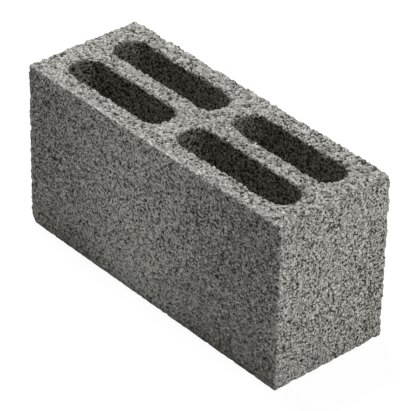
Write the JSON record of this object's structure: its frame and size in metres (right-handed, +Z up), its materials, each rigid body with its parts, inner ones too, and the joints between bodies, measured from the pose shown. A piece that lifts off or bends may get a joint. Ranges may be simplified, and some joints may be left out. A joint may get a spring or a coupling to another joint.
{
  "type": "concrete block",
  "caption": "Rectangular hollow concrete wall block with rows of round-ended slots open at the top, closed at the bottom, for laying in mortar.",
  "frame": {"origin": "middle of the bottom bed, on the floor that the block stands on", "axes": "+X along the block's length, +Y across its width, +Z up, out of the slots' mouths"},
  "size_m": [0.4, 0.15, 0.2],
  "materials": {
    "concrete": "open-grained grey concrete, dull"
  },
  "bodies": {
    "root": {"block": "concrete"}
  },
  "joints": []
}
